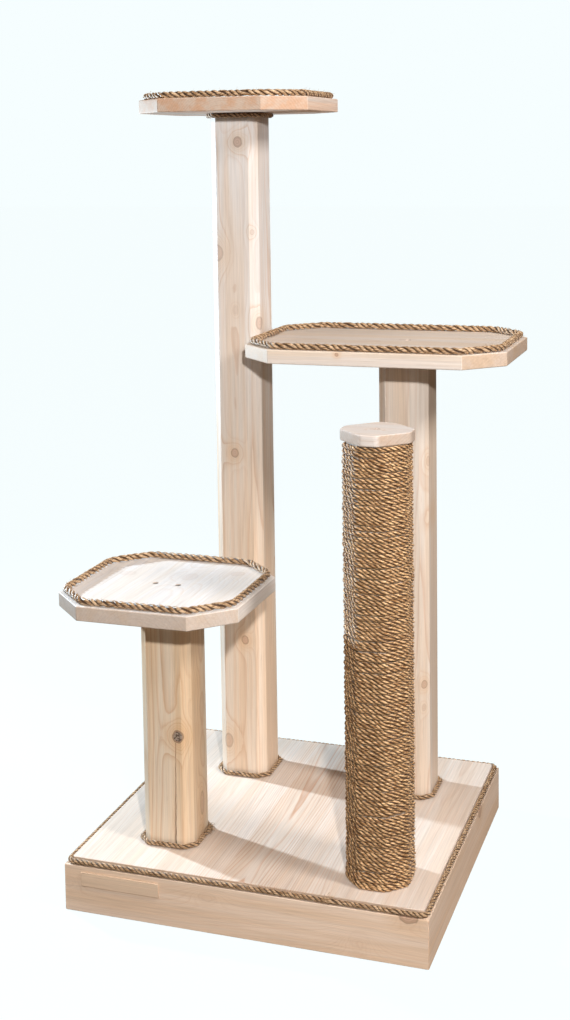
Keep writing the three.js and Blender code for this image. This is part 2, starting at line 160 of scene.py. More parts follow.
def noise(tree, place, stretch, detail=2.0, roughness=0.5):
    """Noise with its own scale along each axis, in cycles a metre."""
    scaled = vector(tree, "MULTIPLY", place, stretch)
    values = {"Vector": scaled, "Scale": 1, "Detail": detail, "Roughness": roughness}
    return add(tree, "ShaderNodeTexNoise", values).outputs


def blend(tree, share, first, second, kind="MIX"):
    made = add(tree, "ShaderNodeMix", {0: share}, data_type="RGBA", blend_type=kind)
    for socket, value in ((made.inputs[6], first), (made.inputs[7], second)):
        if isinstance(value, bpy.types.NodeSocket):
            tree.links.new(value, socket)
        else:
            socket.default_value = (*value, 1)
    return made.outputs[2]


def step(tree, value, start, end, kind="SMOOTHSTEP", low=0.0, high=1.0):
    values = {0: value, 1: start, 2: end, 3: low, 4: high}
    return add(tree, "ShaderNodeMapRange", values, interpolation_type=kind).outputs[0]


def scale(tree, value, factor):
    return add(tree, "ShaderNodeVectorMath", {0: value, "Scale": factor}, operation="SCALE").outputs[0]


def xyz(tree, *parts):
    return add(tree, "ShaderNodeCombineXYZ", dict(enumerate(parts))).outputs[0]


def makers(tree):
    """The functions above with their tree filled in, and the one that links two sockets."""
    bound = [partial(make, tree) for make in (add, calc, vector, scale, xyz, noise, blend, step)]
    return *bound, tree.links.new


def node_group(name, kind, takes, gives):
    group = bpy.data.node_groups.new(name, kind)
    for side, sockets in (("INPUT", takes), ("OUTPUT", gives)):
        for label, socket_type in sockets.items():
            group.interface.new_socket(label, in_out=side, socket_type="NodeSocket" + socket_type)
    return group, group.nodes.new("NodeGroupInput").outputs, group.nodes.new("NodeGroupOutput").inputs


# One branch knot: the rings swirl round it, its own rings show dark, and resin stains it.
MARKS = {"Swirl": "Float", "Knot": "Float", "Rim": "Float", "Stain": "Float", "Heart": "Float"}
knot_group, takes, gives = node_group(
    "branch_knot", "ShaderNodeTree",
    {"Place": "Vector", "Centre": "Vector", "Radius": "Float", "Stretch": "Float", "Darkness": "Float",
     **MARKS}, MARKS)
put, maths, arrow, resize, triple, speckle, mix, rise, join = makers(knot_group)
outward = arrow("NORMALIZE", arrow("MULTIPLY", takes["Centre"], (1, 1, 0)))
apart = arrow("SUBTRACT", takes["Place"], takes["Centre"])
depth = maths("MULTIPLY", arrow("DOT_PRODUCT", apart, outward, out="Value"), 0.75)
scaled = resize(outward, depth)
across = arrow("SUBTRACT", apart, scaled)
squeeze = triple(1, 1, maths("DIVIDE", 1, takes["Stretch"]))
away = arrow("LENGTH", arrow("MULTIPLY", across, squeeze), out="Value")
away = maths("DIVIDE", away, takes["Radius"])
ragged = speckle(takes["Place"], (130, 130, 100))[0]
away = maths("ADD", away, maths("MULTIPLY", maths("SUBTRACT", ragged, 0.5), 0.4))
inside = maths("MULTIPLY", rise(away, 1.15, 0.8), takes["Darkness"])
edge = maths("SUBTRACT", 1, maths("MULTIPLY", 5, maths("ABSOLUTE", maths("SUBTRACT", away, 1.0))))
edge = maths("MULTIPLY", maths("MAXIMUM", edge, 0), takes["Darkness"])
spread = maths("ADD", 1, maths("POWER", maths("MULTIPLY", away, 0.42), 2))
swirl = maths("DIVIDE", maths("MULTIPLY", takes["Radius"], 900), maths("POWER", spread, 2))
stain = maths("MULTIPLY", rise(away, 4.2, 0.8), takes["Darkness"])
rings = maths("MULTIPLY", inside, maths("SINE", maths("MULTIPLY", away, 15)))
for label, operation, value in (
        ("Swirl", "ADD", swirl), ("Knot", "MAXIMUM", inside), ("Rim", "MAXIMUM", edge),
        ("Stain", "MAXIMUM", stain), ("Heart", "ADD", rings)):
    join(maths(operation, takes[label], value), gives[label])

# Sawn softwood: growth rings about a pith line that runs along Z, fine fibre, flecks and
# broad changes of tone. The same solid pattern gives arcs on end grain and flames on faces.
wood_group, takes, gives = node_group(
    "softwood", "ShaderNodeTree",
    {"Place": "Vector", "Ring Width": "Float", "Wander": "Float", "Contrast": "Float", "Fibre": "Float",
     **MARKS, "Pale": "Color", "Warm": "Color", "Late": "Color"},
    {"Color": "Color", "Roughness": "Float", "Height": "Float"})
put, maths, arrow, resize, triple, speckle, mix, rise, join = makers(wood_group)
place = takes["Place"]
drift = arrow("SUBTRACT", speckle(place, (5, 5, 1.1), 1.5)["Color"], (0.5, 0.5, 0.5))
drift = arrow("MULTIPLY", drift, (1, 1, 0))
drift = resize(drift, takes["Wander"])
wandered = arrow("MULTIPLY", arrow("ADD", place, drift), (1, 1, 0))
rings = maths("DIVIDE", arrow("LENGTH", wandered, out="Value"), takes["Ring Width"])
rings = maths("ADD", rings, takes["Swirl"])
rings = maths("ADD", rings, maths("MULTIPLY", speckle(place, (30, 30, 5))[0], 1.3))
year = put("ShaderNodeTexWhiteNoise", {"W": maths("FLOOR", rings)}, noise_dimensions="1D").outputs[0]
ramp = put("ShaderNodeValToRGB", {0: maths("FRACT", rings)})
points = ramp.color_ramp.elements
points[0].position, points[0].color = 0.0, (0.35, 0.35, 0.35, 1)
points[1].position, points[1].color = 1.0, (0.55, 0.55, 0.55, 1)
for position, grey in ((0.07, 0.0), (0.6, 0.05), (0.86, 0.6), (0.94, 1.0)):
    points.new(position).color = (grey, grey, grey, 1)
late = maths("MULTIPLY", ramp.outputs[0], maths("MULTIPLY_ADD", year, 0.7, 0.3))
late = maths("MULTIPLY", late, takes["Contrast"])
fine = speckle(place, (900, 900, 16), 3, 0.6)[0]
coarse = speckle(place, (240, 240, 5), 2)[0]
band = speckle(place, (26, 26, 1.6), 2)[0]
broad = speckle(place, (9, 9, 1.4), 1)[0]
streak = speckle(place, (95, 95, 1.3), 2, 0.6)[0]
tone = maths("MULTIPLY_ADD", maths("SUBTRACT", streak, 0.5), 0.55, band)
colour = mix(rise(tone, 0.36, 0.66), takes["Pale"], takes["Warm"])
colour = mix(late, colour, takes["Late"])
fibre = maths("ADD", maths("MULTIPLY", maths("SUBTRACT", fine, 0.5), 0.42),
             maths("MULTIPLY", maths("SUBTRACT", coarse, 0.5), 0.26))
fibre = maths("MULTIPLY", fibre, takes["Fibre"])
shade = maths("ADD", maths("ADD", 0.985, fibre), maths("MULTIPLY", maths("SUBTRACT", broad, 0.5), 0.16))
colour = resize(colour, shade)
fleck = rise(speckle(place, (520, 520, 34), 1)[0], 0.70, 0.78)
colour = mix(maths("MULTIPLY", fleck, 0.16), colour, (0.42, 0.24, 0.12))
colour = mix(maths("MULTIPLY", takes["Stain"], 0.42), colour, (0.70, 0.42, 0.20))
brown = mix(maths("MULTIPLY_ADD", takes["Heart"], 0.35, 0.45), (0.40, 0.24, 0.16), (0.66, 0.43, 0.31))
colour = mix(maths("MULTIPLY", takes["Knot"], 0.95), colour, brown)
dead = mix(rise(speckle(place, (420, 420, 300), 3)[0], 0.44, 0.56), (0.09, 0.065, 0.05), (0.36, 0.29, 0.235))
colour = mix(rise(takes["Knot"], 0.85, 0.98, high=0.9), colour, dead)
colour = mix(maths("MULTIPLY", takes["Rim"], 0.75), colour, (0.22, 0.12, 0.075))
join(colour, gives["Color"])
sheen = maths("ADD", 0.60, maths("MULTIPLY", maths("SUBTRACT", coarse, 0.5), 0.35))
sheen = maths("SUBTRACT", sheen, maths("MULTIPLY", late, 0.12))
join(maths("SUBTRACT", sheen, maths("MULTIPLY", takes["Knot"], 0.12)), gives["Roughness"])
height = maths("ADD", maths("MULTIPLY", fine, 0.5), maths("MULTIPLY", coarse, 0.4))
height = maths("ADD", height, maths("MULTIPLY", late, 0.35))
join(maths("SUBTRACT", height, maths("MULTIPLY", takes["Rim"], 0.5)), gives["Height"])

END_GRAIN = (0.79, 0.70, 0.62)    # what an end face drinks in makes it this much darker
BLEACH = (0.99, 1.12, 1.32)       # fresh pale wood beside older, warmer wood
PLANED = 0.0006                   # height of the grain on a planed face
GRAIN = {"X": (0, -math.pi / 2, 0), "Y": (math.pi / 2, 0, 0), "Z": (0, 0, 0)}    # turns each onto Z


def softwood(name, grain, pith, pale, warm, late, ring=0.0032, wander=0.02, contrast=0.4, fibre=1.0,
             knots=(), rough=0.0, staves=None, bleached=None):
    """A wood material. Its pith line runs along the grain through the point given.

    Each knot is (centre on the surface, radius, stretch along the grain, darkness).
    """
    paint, tree = new_paint(name)
    turn = Euler(GRAIN[grain]).to_matrix()
    shift = -(turn @ Vector(pith))
    where = add(tree, "ShaderNodeTexCoord").outputs["Object"]
    values = {"Vector": where, "Location": shift, "Rotation": GRAIN[grain]}
    place = add(tree, "ShaderNodeMapping", values).outputs[0]
    seam = None
    if staves:
        place, seam, contrast = staves(tree, place, where)
    marks = {}
    for centre, radius, stretch, darkness in knots:
        values = {"Place": place, "Centre": turn @ Vector(centre) + shift, "Radius": radius,
                  "Stretch": stretch, "Darkness": darkness, **marks}
        knot = add(tree, "ShaderNodeGroup", node_tree=knot_group)
        set_inputs(tree, knot, values)
        marks = {label: knot.outputs[label] for label in MARKS}
    values = {"Place": place, "Ring Width": ring, "Wander": wander, "Contrast": contrast, "Fibre": fibre,
              "Pale": (*pale, 1), "Warm": (*warm, 1), "Late": (*late, 1), **marks}
    wood = add(tree, "ShaderNodeGroup", node_tree=wood_group)
    set_inputs(tree, wood, values)
    colour = wood.outputs["Color"]
    if bleached:
        height = add(tree, "ShaderNodeSeparateXYZ", {0: where}).outputs[2]
        colour = blend(tree, step(tree, height, *bleached), colour, BLEACH, "MULTIPLY")
    facing = add(tree, "ShaderNodeTexCoord").outputs["Normal"]
    axis = turn.transposed() @ Vector((0, 0, 1))
    sawn_across = calc(tree, "ABSOLUTE", vector(tree, "DOT_PRODUCT", facing, tuple(axis), out="Value"))
    colour = blend(tree, step(tree, sawn_across, 0.35, 0.75), colour, END_GRAIN, "MULTIPLY")
    if seam:
        colour = blend(tree, seam, colour, (0.45, 0.28, 0.16))
    bump = add(tree, "ShaderNodeBump", {
        "Height": wood.outputs["Height"], "Strength": 0.35, "Distance": PLANED + rough})
    surface = add(tree, "ShaderNodeBsdfPrincipled", {
        "Base Color": colour, "Roughness": wood.outputs["Roughness"], "Normal": bump.outputs[0], "IOR": 1.45})
    surface.inputs["Specular IOR Level"].default_value = 0.35
    add(tree, "ShaderNodeOutputMaterial", {0: surface.outputs[0]})
    return paint


def link(name, mesh, slot, *nodes):
    """A finished piece at the origin, riding on the one rigid body."""
    piece = bpy.data.objects.new(name, mesh)
    scene.collection.objects.link(piece)
    if nodes:
        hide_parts(*nodes)
    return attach(piece, "root")


def merged(node):
    """The solid's mesh with its loose triangles joined and its flat faces made whole."""
    work = bmesh.new()
    work.from_mesh(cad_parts[node].data)
    bmesh.ops.remove_doubles(work, verts=work.verts, dist=1e-5)
    bmesh.ops.dissolve_limit(work, angle_limit=math.radians(0.6), verts=work.verts, edges=work.edges)
    return work


def smoothed(work, name, paint, sharp=50):
    mesh = bpy.data.meshes.new(name)
    work.to_mesh(mesh)
    work.free()
    mesh.materials.clear()
    mesh.materials.append(paint)
    mesh.polygons.foreach_set("material_index", [0] * len(mesh.polygons))
    mesh.polygons.foreach_set("use_smooth", [True] * len(mesh.polygons))
    mesh.set_sharp_from_angle(angle=math.radians(sharp))
    return mesh


def weigh(piece):
    """Keeps broad faces flat beside their rounded edges."""
    soften = piece.modifiers.new("flat faces", "WEIGHTED_NORMAL")
    soften.keep_sharp = True
    soften.weight = 100


def eased(work, radius, shortest=0.014):
    """Sands every long sharp edge over to a small radius."""
    sharp = math.radians(25)
    edges = [e for e in work.edges
             if len(e.link_faces) == 2 and e.calc_face_angle(0) > sharp and e.calc_length() > shortest]
    bmesh.ops.bevel(work, geom=edges, offset=radius, offset_type="OFFSET", segments=3, profile=0.5,
                    affect="EDGES", clamp_overlap=False)


def wooden(name, node, paint, slot, ease=0.0):
    work = merged(node)
    if ease:
        eased(work, ease)
    piece = link(name, smoothed(work, name, paint), slot, node)
    weigh(piece)
    return piece


RAIL_LOOK = ((0.88, 0.71, 0.58), (0.83, 0.63, 0.47), (0.66, 0.41, 0.26))    # pale, warm, late wood
front_rail_wood = softwood(
    "front_rail_wood", "X", (0, -0.21, 0.11), *RAIL_LOOK, ring=0.0034, wander=0.09, contrast=0.34,
    knots=[((0.274, -0.290, 0.079), 0.009, 1.5, 0.75), ((0.196, -0.290, 0.030), 0.010, 1.6, 0.05),
           ((-0.055, -0.290, 0.060), 0.006, 2.4, 0.08), ((-0.300, -0.290, 0.050), 0.007, 1.8, 0.08)])
side_rail_wood = softwood(
    "side_rail_wood", "Y", (0.24, 0, 0.13), *RAIL_LOOK, ring=0.0034, wander=0.09, contrast=0.34,
    knots=[((0.306, 0.107, 0.074), 0.008, 1.6, 0.6), ((-0.306, -0.06, 0.04), 0.009, 1.7, 0.7)])
back_rail_wood = softwood(
    "back_rail_wood", "X", (0, 0.22, -0.05), *RAIL_LOOK, ring=0.0036, wander=0.08, contrast=0.36,
    knots=[((-0.12, 0.290, 0.045), 0.010, 1.5, 0.8), ((0.21, 0.290, 0.02), 0.006, 1.9, 0.5)])
for side, paint in (("front", front_rail_wood), ("right", side_rail_wood),
                    ("back", back_rail_wood), ("left", side_rail_wood)):
    wooden(f"rail_{side}", f"base_rail_{side}", paint, "rail_wood", 0.0011)

# ---- Top panel --------------------------------------------------------------------------
# A panel glued up from planed staves that run front to back, let into the frame and left
# standing a rope's thickness proud of it.

STAVE_WIDTH = 0.112
STAVE_START = -0.374


def glued_staves(tree, place, where):
    across = add(tree, "ShaderNodeSeparateXYZ", {0: where}).outputs[0]
    count = calc(tree, "DIVIDE", calc(tree, "SUBTRACT", across, STAVE_START), STAVE_WIDTH)
    stave = calc(tree, "FLOOR", count)
    own = add(tree, "ShaderNodeTexWhiteNoise", {"W": stave}, noise_dimensions="1D").outputs["Color"]
    moved = vector(tree, "MULTIPLY", vector(tree, "SUBTRACT", own, (0.5, 0.5, 0.5)), (0.10, 0.05, 3.0))
    middle = calc(tree, "MULTIPLY", calc(tree, "ADD", stave, 0.5), -STAVE_WIDTH)
    middle = xyz(tree, calc(tree, "SUBTRACT", middle, STAVE_START))
    place = vector(tree, "ADD", vector(tree, "ADD", place, moved), middle)
    side = calc(tree, "ABSOLUTE", calc(tree, "SUBTRACT", calc(tree, "FRACT", count), 0.5))
    seam = calc(tree, "MULTIPLY", step(tree, side, 0.4955, 0.4995), 0.22)
    off_middle = calc(tree, "ABSOLUTE", calc(tree, "SUBTRACT", across, 0.02))
    return place, seam, step(tree, off_middle, 0.14, 0.05, low=0.3, high=1.2)


panel_wood = softwood(
    "panel_wood", "Y", (0, 0, 0.035), (0.77, 0.68, 0.61), (0.75, 0.62, 0.52), (0.62, 0.38, 0.26), ring=0.0040,
    wander=0.09, staves=glued_staves)
wooden("top_panel", "base_top_panel", panel_wood, "board_wood")

# ---- Bearers and corner blocks ----------------------------------------------------------
# Rough-sawn timber under the panel: two cleats that the posts are screwed through, a joist
# on edge between them that stands on the floor, and four glue blocks in the corners.

ROUGH_SAWN = 0.0012
cleat_wood = softwood(
    "cleat_wood", "Y", (0.02, 0, -0.02), (0.72, 0.55, 0.38), (0.64, 0.46, 0.29), (0.46, 0.27, 0.14),
    ring=0.0042, contrast=0.6, fibre=1.6, rough=ROUGH_SAWN)
block_wood = softwood(
    "block_wood", "Z", (0.03, 0.05, 0), (0.70, 0.54, 0.38), (0.63, 0.45, 0.29), (0.47, 0.28, 0.15),
    ring=0.0038, contrast=0.6, fibre=1.6, rough=ROUGH_SAWN)
for side in ("left", "right"):
    wooden(f"cleat_{side}", f"base_cleat_{side}", cleat_wood, "hidden_wood", 0.002)
    for end in ("front", "back"):
        wooden(f"glue_block_{end}_{side}", f"corner_block_{end}_{side}", block_wood, "hidden_wood", 0.0015)
wooden("middle_joist", "base_brace_middle", cleat_wood, "hidden_wood", 0.002)

# ---- Blank plate ------------------------------------------------------------------------
# A thin slip of close-grained wood glued to the front rail, its corners barely rounded.

slip_wood = softwood(
    "slip_wood", "X", (0, -0.22, 0.09), (0.80, 0.63, 0.48), (0.76, 0.57, 0.42), (0.66, 0.45, 0.30),
    ring=0.0013, wander=0.02, contrast=0.3, fibre=0.8)
wooden("blank_slip", "blank_plate", slip_wood, "plate_wood", 0.0005)

# ---- Edge rope of the base --------------------------------------------------------------
# One length of thin three-strand manila laid in the step between the panel and the frame,
# glued and stapled, its two cut ends meeting on the front side, a little frayed.

rope_tree, takes, gives = node_group(
    "laid_rope", "GeometryNodeTree",
    {"Geometry": "Geometry", "Rope Radius": "Float", "Lay": "Float", "Start": "Float", "Spacing": "Float",
     "Sides": "Int", "Upright": "Float", "Hairs": "Float", "Hair Length": "Float", "Seed": "Int",
     "Rope Finish": "Material", "Hair Finish": "Material"},
    {"Geometry": "Geometry"})
put, maths, arrow, resize, triple, speckle, mix, rise, join = makers(rope_tree)

STRANDS = 3
STRAND_SHARE = 1 / (1 + 2 / math.sqrt(3))    # a strand's radius in a three-strand rope's
route = put("GeometryNodeMeshToCurve", {0: takes["Geometry"]}).outputs[0]
even = {"Curve": route, "Length": takes["Spacing"]}
route = put("GeometryNodeResampleCurve", even, mode="LENGTH").outputs[0]
route = put("GeometryNodeSetCurveNormal", {0: route}, mode="Z_UP").outputs[0]
along = maths("ADD", put("GeometryNodeSplineParameter").outputs["Length"], takes["Start"])
normal = put("GeometryNodeInputNormal").outputs[0]
tangent = put("GeometryNodeInputTangent").outputs[0]
strand_radius = maths("MULTIPLY", takes["Rope Radius"], STRAND_SHARE * 1.06)
reach = maths("MULTIPLY", takes["Rope Radius"], 1 - STRAND_SHARE)
uneven = put("ShaderNodeTexNoise", {"Scale": 34, "Detail": 1, "W": takes["Seed"]}, noise_dimensions="4D")
join(put("GeometryNodeInputPosition").outputs[0], uneven.inputs["Vector"])
jitter = maths("MULTIPLY", maths("SUBTRACT", uneven.outputs[0], 0.5), 4.0)
strands = put("GeometryNodeJoinGeometry")
for strand in range(STRANDS):
    turn = maths("MULTIPLY", maths("DIVIDE", along, takes["Lay"]), math.tau)
    turn = maths("ADD", turn, strand * math.tau / STRANDS)
    turn = maths("ADD", turn, jitter)
    sideways = resize(normal, maths("COSINE", turn))
    upward = resize(arrow("CROSS_PRODUCT", tangent, normal), maths("SINE", turn))
    outward = arrow("ADD", sideways, upward)
    kept = put("GeometryNodeCaptureAttribute", {0: route})
    kept.capture_items.new("VECTOR", "Outward")
    kept.capture_items.new("FLOAT", "Along")
    join(outward, kept.inputs["Outward"])
    join(along, kept.inputs["Along"])
    own = maths("ADD", strand * 7.3, takes["Seed"])
    wobble = put("ShaderNodeTexNoise", {"Scale": 90, "Detail": 1, "W": own}, noise_dimensions="4D")
    join(put("GeometryNodeInputPosition").outputs[0], wobble.inputs["Vector"])
    loose = maths("MULTIPLY_ADD", maths("SUBTRACT", wobble.outputs[0], 0.5), 0.5, 0.97)
    offset = resize(kept.outputs["Outward"], maths("MULTIPLY", reach, loose))
    stretched = triple(1, 1, takes["Upright"])
    offset = arrow("MULTIPLY", offset, stretched)
    placed = put("GeometryNodeSetPosition", {"Geometry": kept.outputs[0], "Offset": offset}).outputs[0]
    circle = {"Resolution": takes["Sides"], "Radius": strand_radius}
    ring = put("GeometryNodeCurvePrimitiveCircle", circle).outputs[0]
    section = put("GeometryNodeCaptureAttribute", {0: ring})
    section.capture_items.new("VECTOR", "Section")
    join(put("GeometryNodeInputPosition").outputs[0], section.inputs["Section"])
    sweep = {"Curve": placed, "Profile Curve": section.outputs[0], "Fill Caps": True}
    tube = put("GeometryNodeCurveToMesh", sweep).outputs[0]
    parts = put("ShaderNodeSeparateXYZ", {0: section.outputs["Section"]}).outputs
    fibre = triple(maths("ADD", kept.outputs["Along"], strand * 3.1), parts[0], parts[1])
    facing = put("GeometryNodeInputNormal").outputs[0]
    outer = arrow("DOT_PRODUCT", facing, kept.outputs["Outward"], out="Value")
    for label, value, kind in (("fibre", fibre, "FLOAT_VECTOR"), ("outer", outer, "FLOAT")):
        stored = {"Geometry": tube, "Name": label, "Value": value}
        tube = put("GeometryNodeStoreNamedAttribute", stored, data_type=kind).outputs[0]
    join(tube, strands.inputs[0])
body = put("GeometryNodeSetShadeSmooth", {"Geometry": strands.outputs[0]}).outputs[0]
body = put("GeometryNodeSetMaterial", {"Geometry": body, "Material": takes["Rope Finish"]}).outputs[0]

# Loose fibres: short hairs of even thickness, bowed a little, that stand off the rope and lean at random.
roots = put("GeometryNodeDistributePointsOnFaces", {
    "Mesh": body, "Density": takes["Hairs"], "Seed": takes["Seed"]})
line = put("GeometryNodeCurvePrimitiveLine", {"End": (0, 0, 1)}).outputs[0]
line = put("GeometryNodeResampleCurve", {"Curve": line, "Count": 3}).outputs[0]
share = put("GeometryNodeSplineParameter").outputs["Factor"]
bow = triple(maths("MULTIPLY", maths("POWER", share, 2), 0.55))
line = put("GeometryNodeSetPosition", {"Geometry": line, "Offset": bow}).outputs[0]
thin = put("GeometryNodeCurvePrimitiveCircle", {"Resolution": 3, "Radius": 0.032}).outputs[0]
hair = put("GeometryNodeCurveToMesh", {"Curve": line, "Profile Curve": thin, "Fill Caps": True}).outputs[0]
lean = put("FunctionNodeRandomValue", {0: (-1, -1, -0.35), 1: (1, 1, 1)}, data_type="FLOAT_VECTOR").outputs[0]
heading = arrow("ADD", roots.outputs["Normal"], arrow("MULTIPLY", lean, (1.5, 1.5, 1.2)))
turned = put("FunctionNodeAlignRotationToVector", {"Vector": heading}, axis="Z").outputs[0]
long = put("FunctionNodeRandomValue", {2: 0.35, 3: 1.0}, data_type="FLOAT").outputs[1]
hairs = put("GeometryNodeInstanceOnPoints", {
    "Points": roots.outputs[0], "Instance": hair, "Rotation": turned,
    "Scale": maths("MULTIPLY", long, takes["Hair Length"])}).outputs[0]
hairs = put("GeometryNodeSetMaterial", {"Geometry": hairs, "Material": takes["Hair Finish"]}).outputs[0]
whole = put("GeometryNodeJoinGeometry")
join(hairs, whole.inputs[0])
join(body, whole.inputs[0])
whole = put("GeometryNodeRealizeInstances", {0: whole.outputs[0]}).outputs[0]
join(whole, gives["Geometry"])


def grow(name, start, tree, values):
    """Runs a geometry tree on a start mesh and gives back the plain mesh it makes."""
    holder = bpy.data.objects.new(name + "_start", start)
    scene.collection.objects.link(holder)
    run = holder.modifiers.new(name, "NODES")
    run.node_group = tree
    for item in tree.interface.items_tree:
        if item.item_type == "SOCKET" and item.in_out == "INPUT" and item.name in values:
            run[item.identifier] = values[item.name]
    bpy.context.view_layer.update()
    depsgraph = bpy.context.evaluated_depsgraph_get()
    shaped = holder.evaluated_get(depsgraph)
    mesh = bpy.data.meshes.new_from_object(shaped, preserve_all_data_layers=True, depsgraph=depsgraph)
    mesh.name = name
    bpy.data.objects.remove(holder)
    return mesh


# Twisted fibre: yarns wind across each strand, with pale and dark fibres along them. Painted shade: the
# valleys between strands are darkened towards the valley shade colour, and each yarn's groove is painted a
# little darker than its ridge.
fibre_group, takes, gives = node_group(
    "rope_fibre", "ShaderNodeTree",
    {"Fibre": "Vector", "Outer": "Float", "Yarn Turn": "Float",
     "Straw": "Color", "Tan": "Color", "Valley Shade": "Color"},
    {"Color": "Color", "Roughness": "Float", "Height": "Float"})
put, maths, arrow, resize, triple, speckle, mix, rise, join = makers(fibre_group)
parts = put("ShaderNodeSeparateXYZ", {0: takes["Fibre"]}).outputs
round_angle = maths("ARCTAN2", parts[2], parts[1])
twist = maths("ADD", round_angle, maths("DIVIDE", parts[0], takes["Yarn Turn"]))
yarn = maths("SINE", maths("MULTIPLY", twist, 6))
twisted = triple(parts[0], maths("MULTIPLY", maths("COSINE", twist), 0.002),
                 maths("MULTIPLY", maths("SINE", twist), 0.002))
fine = speckle(twisted, (70, 2600, 2600), 2, 0.65)[0]
clump = speckle(twisted, (110, 700, 700), 1)[0]
patch = speckle(takes["Fibre"], (26, 60, 60), 1)[0]
colour = mix(rise(clump, 0.38, 0.60), takes["Tan"], takes["Straw"])
colour = mix(rise(patch, 0.42, 0.75, high=0.5), colour, takes["Tan"])
shade = maths("MULTIPLY_ADD", maths("SUBTRACT", fine, 0.5), 1.5, 1.0)
# Painted shade: yarn ridges a little lighter and their grooves a little darker, in step with the bump below.
shade = maths("ADD", shade, maths("MULTIPLY", yarn, 0.07))
colour = resize(colour, shade)
# Painted shade: where a strand's surface faces inward, into the valley between strands, its colour turns to
# the valley shade colour.
colour = mix(rise(takes["Outer"], 0.82, 0.05), colour, takes["Valley Shade"])
join(colour, gives["Color"])
join(maths("MULTIPLY_ADD", fine, 0.3, 0.22), gives["Roughness"])
height = maths("ADD", maths("MULTIPLY", yarn, 0.35), maths("MULTIPLY", fine, 0.9))
join(height, gives["Height"])


def rope_finish(name, straw, tan, valley_shade, yarn_turn=0.0035):
    paint, tree = new_paint(name)
    twisted = add(tree, "ShaderNodeGroup", node_tree=fibre_group)
    set_inputs(tree, twisted, {
        "Fibre": add(tree, "ShaderNodeAttribute", attribute_name="fibre").outputs["Vector"],
        "Outer": add(tree, "ShaderNodeAttribute", attribute_name="outer").outputs["Fac"],
        "Yarn Turn": yarn_turn, "Straw": (*straw, 1), "Tan": (*tan, 1), "Valley Shade": (*valley_shade, 1)})
    colour, roughness, height = (twisted.outputs[label] for label in ("Color", "Roughness", "Height"))
    bump = add(tree, "ShaderNodeBump", {"Height": height, "Strength": 0.7, "Distance": 0.0007})
    surface = add(tree, "ShaderNodeBsdfPrincipled", {
        "Base Color": colour, "Roughness": roughness, "Normal": bump.outputs[0]})
    surface.inputs["Specular IOR Level"].default_value = 0.45
    surface.inputs["Sheen Weight"].default_value = 0.15
    add(tree, "ShaderNodeOutputMaterial", {0: surface.outputs[0]})
    return paint


# The third colour of each rope finish is the painted shade in the valleys between its strands.
manila = rope_finish("twisted_manila", (0.74, 0.52, 0.32), (0.28, 0.15, 0.062), (0.09, 0.040, 0.014))
hair_finish, tree = new_paint("loose_fibre")
spots = noise(tree, add(tree, "ShaderNodeTexCoord").outputs["Object"], (300, 300, 300))[0]
tint = blend(tree, step(tree, spots, 0.3, 0.7), (0.26, 0.145, 0.06), (0.80, 0.61, 0.42))
rough = step(tree, spots, 0, 1, "LINEAR", 0.5, 0.8)
thread = add(tree, "ShaderNodeBsdfPrincipled", {"Base Color": tint, "Roughness": rough})
add(tree, "ShaderNodeOutputMaterial", {0: thread.outputs[0]})

ROPE_RADIUS = 0.0042
ROPE_LAY = 0.027
ROPE_JOINT = 0.0012     # gap between the two cut ends
EDGE_BEND = 0.0108
EDGE_JOINT = 0.74       # share of the front side where the ends meet
FRAY_HALF = 0.005


def bend_corners(corners, radius, steps=8):
    """A ring of level corners, each turned into an arc."""
    points = []
    for i, corner in enumerate(corners):
        corner, before, after = (Vector(c) for c in (corner, corners[i - 1], corners[(i + 1) % len(corners)]))
        into, out = (corner - before).normalized(), (after - corner).normalized()
        turn = into.angle(out)
        start = corner - into * radius * math.tan(turn / 2)
        centre = start + Vector((-into.y, into.x)) * radius
        for k in range(steps + 1):
            points.append(centre + Matrix.Rotation(turn * k / steps, 2) @ (start - centre))
    return points


def octagon(width, depth, clip):
    x, y = width / 2, depth / 2
    return [(x - clip, y), (-x + clip, y), (-x, y - clip), (-x, -y + clip),
            (-x + clip, -y), (x - clip, -y), (x, -y + clip), (x, y - clip)]


def route_mesh(name, points):
    mesh = bpy.data.meshes.new(name)
    mesh.from_pydata([tuple(p) for p in points], [(i, i + 1) for i in range(len(points) - 1)], [])
    return mesh


def lay_rope(name, points, node, slot="trim_rope", radius=ROPE_RADIUS, lay=ROPE_LAY, seed=1, spacing=0.0014,
             sides=9, upright=1.0, start=0.0, hairs=11000.0, hair_length=0.0052, finish=None):
    mesh = grow(name, route_mesh(name + "_route", points), rope_tree, {
        "Rope Radius": radius, "Lay": lay, "Start": start, "Spacing": spacing, "Sides": sides,
        "Upright": upright, "Hairs": hairs, "Hair Length": hair_length, "Seed": seed,
        "Rope Finish": finish or manila, "Hair Finish": hair_finish})
    return link(name, mesh, slot, node)


def rope_loop(corners, bend, share, low, high):
    """A loop half way up a box, from its joint, at a share of its last side, back to it."""
    first, last = Vector(corners[0]), Vector(corners[-1])
    along = (first - last).normalized() * ROPE_JOINT / 2
    joint = last.lerp(first, share)
    flat = [joint + along, *bend_corners(corners, bend), joint - along]
    centre, height = (low + high) / 2, (low.z + high.z) / 2
    return [(p.x + centre.x, p.y + centre.y, height) for p in flat]


low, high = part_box("base_edge_rope")
x, y = (high.x - low.x) / 2 - ROPE_RADIUS, (high.y - low.y) / 2 - ROPE_RADIUS
corners = [(x, -y), (x, y), (-x, y), (-x, -y)]
points = rope_loop(corners, EDGE_BEND, EDGE_JOINT, low, high)
lay_rope("edge_rope", points, "base_edge_rope", seed=3, hairs=6000.0, hair_length=0.004)


